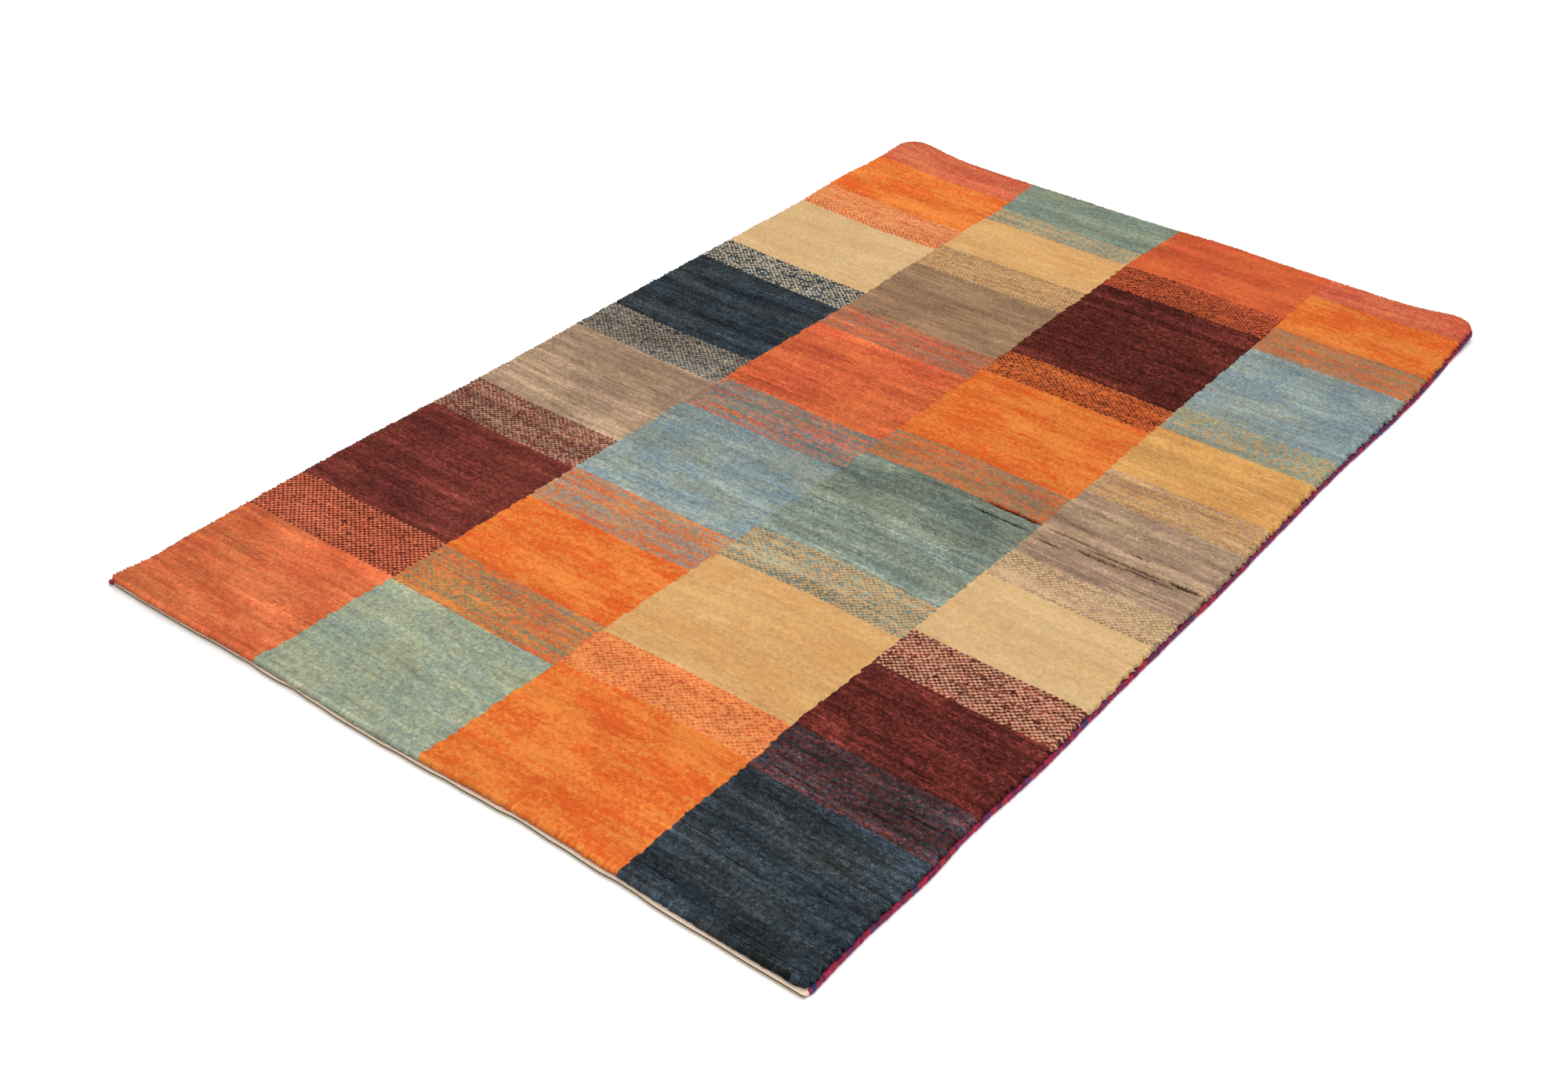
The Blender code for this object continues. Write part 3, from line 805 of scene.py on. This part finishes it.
def pileBlock(name, columns, rows, material, dyeLot):
    firstColumn, lastColumn = withRim(*columns, knots["across"])
    firstRow, lastRow = withRim(*rows, knots["along"])
    columnSteps = lastColumn - firstColumn
    rowSteps = lastRow - firstRow
    build = bmesh.new()
    depthLayer = build.verts.layers.float.new("depth")
    lotAndTipLightLayer = build.verts.layers.float.new("lot")
    knotLayer = build.loops.layers.uv.new("Knots")
    bakeLayer = build.loops.layers.uv.new("OFBake")
    bmesh.ops.create_grid(build, x_segments=columnSteps, y_segments=rowSteps, size=0.5)
    steps = gridSteps(build, columnSteps, rowSteps)
    for vertex, (column, row) in steps.items():
        at = (row + firstRow + rimRows, column + firstColumn + rimRows)
        vertex.co = lattice[at]
        vertex[depthLayer] = depths[at]
    for face in build.faces:
        for loop in face.loops:
            column, row = steps[loop.vert]
            loop[bakeLayer].uv = (column / columnSteps, row / rowSteps)
            column = min(max(column + firstColumn, -1), knots["across"] + 1)
            row = min(max(row + firstRow, -1), knots["along"] + 1)
            loop[knotLayer].uv = (column, row)
    tips = bmesh.ops.poke(build, faces=build.faces[:], offset=knots["tipHeight"])["verts"]
    sideTips = set()
    for tip in tips:
        around = [edge.other_vert(tip) for edge in tip.link_edges]
        least = min(vertex[depthLayer] for vertex in around)
        tip[depthLayer] = least * knots["tipShade"] if least > knots["shadedFrom"] else 0.0
        column = min(steps[vertex][0] for vertex in around) + firstColumn
        outside = column - knots["across"] + 1 if column >= knots["across"] else -column
        if 0 < outside <= sideTeeth["rows"]:
            tip[depthLayer] = 0.0
            sideTips.add(tip)
            reach = sideTeeth["tuft"] + sideTeeth["uneven"] * tipChance.random_sample()
            tip.co.x += math.copysign(reach, column)
            tip.co.z -= sideTeeth["drop"] * outside
    nearLot, farLot, leftLot, rightLot = dyeLot
    spread = tipChance.uniform(-1.0, 1.0, (len(tips), 3))
    for tip, (sway, drop, rise) in zip(tips, spread):
        tip.co += Vector((sway * knots["lean"], drop * knots["lean"], rise * knots["tipSpread"]))
    for vertex in build.verts:
        around = [edge.other_vert(vertex) for edge in vertex.link_edges]
        corner = vertex if vertex in steps else next(other for other in around if other in steps)
        column, row = steps[corner]
        alongLot = nearLot + (farLot - nearLot) * smoothStep(row / rowSteps)
        acrossLot = leftLot + (rightLot - leftLot) * smoothStep(column / columnSteps)
        vertex[lotAndTipLightLayer] = alongLot * acrossLot - 1.0
        # Painted highlight: the side tufts' tips are made lighter through the lot attribute,
        # which otherwise holds the dye lots
        if vertex in sideTips:
            vertex[lotAndTipLightLayer] += sideTeeth["litTips"]
    piece = finishPiece(name, build, [material])
    return piece


materials = {}
for columnNumber, blocks in enumerate(chart, start=1):
    columns = knots["columnEnds"][columnNumber - 1:columnNumber + 1]
    firstRow = 0
    for blockNumber, (lastRow, *yarnNames) in enumerate(blocks, start=1):
        key = tuple(yarnNames)
        if key not in materials:
            materials[key] = plainWool(*key) if len(key) == 1 else mixedWool(*key)
        name = f"pile_{columnNumber}_{blockNumber:02d}_{'_'.join(key)}"
        dyeLot = dyeLots.get((columnNumber, blockNumber), plainLot)
        pileBlock(name, columns, (firstRow, lastRow), materials[key], dyeLot)
        firstRow = lastRow

# The woven ground under the pile; its underside shows the backs of the knots
ground = {
    "step": 6,  # knots to a face
    "tuck": 0.0010,  # how far it reaches past the pile's flat top
    "flatSize": (0.80, 1.35),
    "beads": (2.0, 1.0, 1.0),  # two to a knot, on the underside
    "beadHeight": 0.0006,
    "sharpFrom": 50.0,  # degrees
}


def makeBackMaterial():
    material, tree, tone, knotMap, bump = woolMaterial("backs of the knots", yarns["taupe"])
    turns = takenTurns(tree, knotMap, 0.0, 0.0, 0.5, 0.0)
    yarn = mixed(tree, turns, attribute(tree, "firstYarn", "Color"),
                 attribute(tree, "secondYarn", "Color"))
    for socket in yarnColours:
        tree.links.new(yarn, tone.inputs[socket])
    beads = vectorMaths(tree, "FRACTION", vectorMaths(tree, "MULTIPLY", knotMap, ground["beads"]))
    waves = [maths(tree, "SINE", maths(tree, "MULTIPLY", separated(tree, beads, part), math.pi))
             for part in (0, 1)]
    bump.inputs["Distance"].default_value = ground["beadHeight"]
    tree.links.new(maths(tree, "MULTIPLY", *waves), bump.inputs["Height"])
    return material


def latticePlace(column, row, outward=0.0):
    x, y, _ = lattice[row + rimRows, column + rimRows]
    if (column, row) in outline:
        normal = outline[column, row][1]
        x += normal[0] * outward
        y += normal[1] * outward
    return x, y, float(lift(x + rug["centre"][0], y + rug["centre"][1]))


def makeGround():
    columns = sorted(set(range(0, knots["across"], ground["step"])) | set(knots["columnEnds"]))
    rows = set(range(0, knots["along"], ground["step"])) | {knots["along"]}
    for blocks in chart:
        rows |= {block[0] for block in blocks}
    rows = sorted(rows)
    build = bmesh.new()
    bmesh.ops.create_grid(build, x_segments=len(columns) - 1, y_segments=len(rows) - 1, size=0.5)
    steps = gridSteps(build, len(columns) - 1, len(rows) - 1)
    knotLayer = build.loops.layers.uv.new("Knots")
    firstLayer = build.loops.layers.float_color.new("firstYarn")
    secondLayer = build.loops.layers.float_color.new("secondYarn")
    for vertex, (columnStep, rowStep) in steps.items():
        vertex.co = latticePlace(columns[columnStep], rows[rowStep], ground["tuck"])
    for face in build.faces:
        places = [steps[vertex] for vertex in face.verts]
        column = min(columns[place[0]] for place in places)
        row = min(rows[place[1]] for place in places)
        number = sum(column >= end for end in knots["columnEnds"]) - 1
        block = next(block for block in chart[number] if row < block[0])
        first = linearColour(yarns[block[1]]["colour"])
        second = linearColour(yarns[block[-1]]["colour"])
        for loop in face.loops:
            columnStep, rowStep = steps[loop.vert]
            loop[knotLayer].uv = (columns[columnStep], rows[rowStep])
            loop[firstLayer] = first
            loop[secondLayer] = second
    raised = bmesh.ops.extrude_face_region(build, geom=build.faces[:])
    lifted = [item for item in raised["geom"] if isinstance(item, bmesh.types.BMVert)]
    bmesh.ops.translate(build, verts=lifted, vec=(0.0, 0.0, rug["groundThickness"]))
    bmesh.ops.recalc_face_normals(build, faces=build.faces)
    piece = finishPiece("woven_ground", build, [makeBackMaterial()])
    piece.data.set_sharp_from_angle(angle=math.radians(ground["sharpFrom"]))
    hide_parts("knotted_rug")
    return piece


wovenGround = makeGround()
print("Ground woven")

# The undyed hems at both ends, rolled under the pile
hem = {
    "looks": {"Roughness": 0.9, "Specular IOR Level": 0.15, "Sheen Weight": 0.15},
    "toneScale": 60.0,
    "weaveScale": (650.0, 300.0, 300.0),
    "weaveDepth": 0.0004,
    "paleColour": (240, 222, 200),
    "pinkColour": (232, 202, 180),
    # painted shade: the groove under the roll is coloured dark
    "grooveShadeColour": (112, 100, 74),
    "lipColour": (230, 212, 188),
    "profile": ((-0.0095, 0.0040), (-0.0052, 0.0047), (-0.0022, 0.0048), (-0.0008, 0.0046),
                (-0.0001, 0.0042), (-0.0004, 0.0037), (-0.0017, 0.0033), (-0.0018, 0.0025),
                (-0.0006, 0.0020), (-0.0002, 0.0012), (-0.0008, 0.0004), (-0.0026, 0.0001),
                (-0.0095, 0.0)),  # reach from the front, height
    "grooveHeights": (0.0016, 0.0020, 0.0036, 0.0039),
    "middle": (-0.0048, 0.0024),  # of the roll: reach and height
    "ribPitch": 0.00308,
    "ribDepth": 0.00016,
    "ribRise": 0.5,  # how much of that is upwards
    "stationsPerRib": 4,
    "wobble": 0.0010,
    "stationsPerBend": 24,
    "endReach": 0.004,
    "endSize": 0.35,  # of the roll's full size
    "nearOverhang": (0.0030, 0.0094),  # past the pile's corners, at the left and the right
    "nearSpots": 260,
    "farLine": (0.0, 0.0022, 0.0044, 1.0),  # where its front runs, as a row of the pile's rim
}
weldDistance = 0.00002


def travel(line):
    gaps = numpy.linalg.norm(numpy.diff(line, axis=0), axis=1)
    return numpy.concatenate(([0.0], numpy.cumsum(gaps)))


def placeOn(at, travelled, line, normals):
    return [numpy.interp(at, travelled, values) for values in (*line.T, *normals.T)]


def roundedEnd(at, length, reach, least):
    share = min(max(min(at, length - at), 0.0) / reach, 1.0)
    return least + (1.0 - least) * math.sqrt(1.0 - (1.0 - share) ** 2)


def closeTube(build):
    bmesh.ops.remove_doubles(build, verts=build.verts, dist=weldDistance)
    rims = [edge for edge in build.edges if edge.is_boundary]
    bmesh.ops.holes_fill(build, edges=rims, sides=0)
    bmesh.ops.recalc_face_normals(build, faces=build.faces)


def hemMaterial():
    material, tree, shader = newMaterial("undyed hem wool", hem["looks"])
    place = put(tree, "ShaderNodeTexCoord").outputs["Object"]
    height = attribute(tree, "profileHeight")
    lipTop, grooveBottom, grooveTop, rollBottom = hem["grooveHeights"]
    tone = put(tree, "ShaderNodeTexNoise",
               {"Vector": place, "Scale": hem["toneScale"], "Detail": 3.0}).outputs["Fac"]
    yarn = mixed(tree, tone, linearColour(hem["paleColour"]), linearColour(hem["pinkColour"]))
    # painted shade in the groove under the roll
    shade = mixed(tree, ramp(tree, height, grooveTop, rollBottom),
                  linearColour(hem["grooveShadeColour"]), yarn)
    shade = mixed(tree, ramp(tree, height, grooveBottom, lipTop), shade,
                  linearColour(hem["lipColour"]))
    weave = put(tree, "ShaderNodeTexNoise",
                {"Vector": vectorMaths(tree, "MULTIPLY", place, hem["weaveScale"]),
                 "Scale": 1.0, "Detail": 2.0}).outputs["Fac"]
    bump = put(tree, "ShaderNodeBump", {"Height": weave, "Distance": hem["weaveDepth"]})
    tree.links.new(shade, shader.inputs["Base Color"])
    tree.links.new(bump.outputs[0], shader.inputs["Normal"])
    return material


def makeHem(name, line, normals, material):
    profile = hem["profile"]
    line = numpy.array(line)
    normals = numpy.array(normals)
    travelled = travel(line)
    length = travelled[-1]
    count = int(length / hem["ribPitch"] * hem["stationsPerRib"])
    stations = numpy.linspace(0.0, length, count + 1)
    chance = numpy.random.RandomState(knots["seed"] + 2)
    bends = count // hem["stationsPerBend"] + 2
    wobble = chance.uniform(-1.0, 1.0, bends) * hem["wobble"]
    middleReach, middleHeight = hem["middle"]
    build = bmesh.new()
    heightLayer = build.verts.layers.float.new("profileHeight")
    bmesh.ops.create_grid(build, x_segments=count, y_segments=len(profile), size=0.5)
    for vertex, (station, side) in gridSteps(build, count, len(profile)).items():
        reach, height = profile[side % len(profile)]
        at = stations[station]
        x, y, outX, outY = placeOn(at, travelled, line, normals)
        vertex[heightLayer] = height
        rib = hem["ribDepth"] * math.sin(2.0 * math.pi * at / hem["ribPitch"])
        bend = numpy.interp(station / hem["stationsPerBend"], range(bends), wobble)
        ease = roundedEnd(at, length, hem["endReach"], hem["endSize"])
        reach = middleReach + (reach - middleReach) * ease + rib + bend
        height = middleHeight + (height - middleHeight) * ease + rib * hem["ribRise"]
        vertex.co = (x + outX * reach - rug["centre"][0], y + outY * reach - rug["centre"][1],
                     float(lift(x, y)) + max(height, 0.0))
    closeTube(build)
    piece = finishPiece(name, build, [material])
    return piece


def makeHems():
    material = hemMaterial()
    left = crownPoint(0.0, 0.0)[0]
    right = crownPoint(crownWidth, 0.0)[0]
    across = numpy.linspace(left - hem["nearOverhang"][0], right + hem["nearOverhang"][1],
                            hem["nearSpots"])
    nearLine = [(x, -float(wander(nearWander, x))) for x in across]
    nearHem = makeHem("near_hem", nearLine, [(0.0, -1.0)] * len(nearLine), material)
    farLine = []
    farNormals = []
    for column in range(knots["across"], -1, -1):
        spot, normal = outline[column, knots["along"]]
        farLine.append(spot + rimStep(spot, normal, hem["farLine"]))
        farNormals.append(normal)
    return nearHem, makeHem("far_hem", farLine, farNormals, material)


nearHem, farHem = makeHems()
print("Hems rolled")

# The wrapped edges
cord = {
    "width": 0.0062,
    "height": 0.0049,
    "reach": 0.0066,  # from the pile's flat top to the cord's middle
    "wrapPitch": 0.0022,
    "waver": 0.0004,
    "waverEvery": 9,  # wraps
    "stepsPerWrap": 4,
    "sides": 12,
    "slant": 0.0022,
    "groove": 0.00050,
    "spread": 0.00030,
    "taper": 0.0030,
    "endSize": 0.3,  # of the cord's full size
    "firstRow": 2,  # of knots that it runs along
    "start": (0.0, 0.0060),  # from the near hem's front, at the left and the right
    "yarns": {  # colour, and its chance at the near end and at the far end
        "crimson": ((164, 50, 78), 0.38, 0.22),
        "wine": ((132, 48, 76), 0.22, 0.28),
        "brickRed": ((168, 62, 66), 0.10, 0.02),
        "violet": ((112, 58, 104), 0.12, 0.24),
        "edgeNavy": ((70, 66, 106), 0.08, 0.06),
        "plum": ((108, 48, 80), 0.10, 0.18),
    },
    "farSooner": 1.6,  # how soon the far end's colours take over
    # the yarn darkened for its colour deeper in the wraps, partly painted shade
    "deepShare": 0.55,
    "wool": {"lively": 0.2, "rows": 0.0, "open": 0.12},
    "spareWraps": 4,
    "run": (1, 4),  # fewest and most wraps of a colour in a row
    "seeds": {"overcast_edge_left": 11, "overcast_edge_right": 12},
}


def cordMaterials():
    result = []
    for yarnName, (colour, *_) in cord["yarns"].items():
        deep = [level * cord["deepShare"] for level in colour]
        yarn = {"colour": colour, "other": colour, "deep": deep, **cord["wool"]}
        result.append(woolMaterial(f"{yarnName} edge wool", yarn, "Wraps")[0])
    return result


def cordLine(column):
    spot, normal = outline[column, cord["firstRow"]]
    start = cord["start"][column > 0] - float(wander(nearWander, spot[0]))
    first = numpy.array((spot[0], start)) + normal * cord["reach"]
    line = [first]
    normals = [normal]
    for row in range(cord["firstRow"] + 1, knots["along"] + 1):
        spot, normal = outline[column, row]
        turn = math.degrees(math.atan2(abs(normal[1]), abs(normal[0])))
        if turn < sideTurns["far"]:
            line.append(spot + normal * cord["reach"])
            normals.append(normal)
    return numpy.array(line), numpy.array(normals)


def wrapColours(chance, wraps):
    nearChances, farChances = numpy.array([yarn[1:] for yarn in cord["yarns"].values()]).T
    colours = []
    while len(colours) < wraps + cord["spareWraps"]:
        share = min(1.0, cord["farSooner"] * len(colours) / wraps)
        chances = nearChances * (1.0 - share) + farChances * share
        colour = chance.choice(len(chances), p=chances)
        colours += [colour] * chance.randint(*cord["run"])
    return colours


def makeCord(name, column, materialsInOrder):
    line, normals = cordLine(column)
    travelled = travel(line)
    length = travelled[-1]
    wraps = int(length / cord["wrapPitch"])
    count = wraps * cord["stepsPerWrap"]
    chance = numpy.random.RandomState(cord["seeds"][name])
    colours = wrapColours(chance, wraps)
    bulge = chance.uniform(-1.0, 1.0, wraps + cord["spareWraps"]) * cord["spread"]
    waver = chance.uniform(-1.0, 1.0, wraps // cord["waverEvery"] + 3) * cord["waver"]

    def wrapAt(angle, station):
        leaned = cord["slant"] / cord["wrapPitch"] * math.cos(angle)
        return station / cord["stepsPerWrap"] + leaned

    build = bmesh.new()
    bmesh.ops.create_grid(build, x_segments=cord["sides"], y_segments=count, size=0.5)
    steps = gridSteps(build, cord["sides"], count)
    wrapLayer = build.loops.layers.uv.new("Wraps")
    bakeLayer = build.loops.layers.uv.new("OFBake")
    for face in build.faces:
        sides = [steps[vertex][0] for vertex in face.verts]
        stations = [steps[vertex][1] for vertex in face.verts]
        angle = 2.0 * math.pi * (sum(sides) / len(sides)) / cord["sides"]
        wrap = wrapAt(angle, sum(stations) / len(stations))
        face.material_index = int(colours[int(wrap + 1.0)])
        for loop in face.loops:
            side, station = steps[loop.vert]
            loop[wrapLayer].uv = (side * 0.5, station / cord["stepsPerWrap"])
            loop[bakeLayer].uv = (side / cord["sides"], station / count)
    for vertex, (side, station) in steps.items():
        angle = 2.0 * math.pi * side / cord["sides"]
        at = length * station / count
        wrap = wrapAt(angle, station)
        crest = abs(math.sin(math.pi * wrap))
        x, y, outX, outY = placeOn(at, travelled, line, normals)
        ease = roundedEnd(at, length, cord["taper"], cord["endSize"])
        swell = bulge[int(wrap + 1.0)] * crest - cord["groove"] * (1.0 - crest)
        outward = math.cos(angle) * (cord["width"] / 2.0 + swell) * ease
        outward += numpy.interp(max(wrap, 0.0) / cord["waverEvery"], range(len(waver)), waver)
        upward = math.sin(angle) * (cord["height"] / 2.0 + swell) * ease
        height = float(lift(x, y)) + cord["height"] / 2.0 + upward
        vertex.co = (x + outX * outward - rug["centre"][0],
                     y + outY * outward - rug["centre"][1], max(height, 0.0))
    closeTube(build)
    piece = finishPiece(f"{name}_wraps", build, materialsInOrder)
    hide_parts(name)
    return piece


edgeWools = cordMaterials()
leftCord = makeCord("overcast_edge_left", 0, edgeWools)
rightCord = makeCord("overcast_edge_right", knots["across"], edgeWools)
print("Edges wrapped")
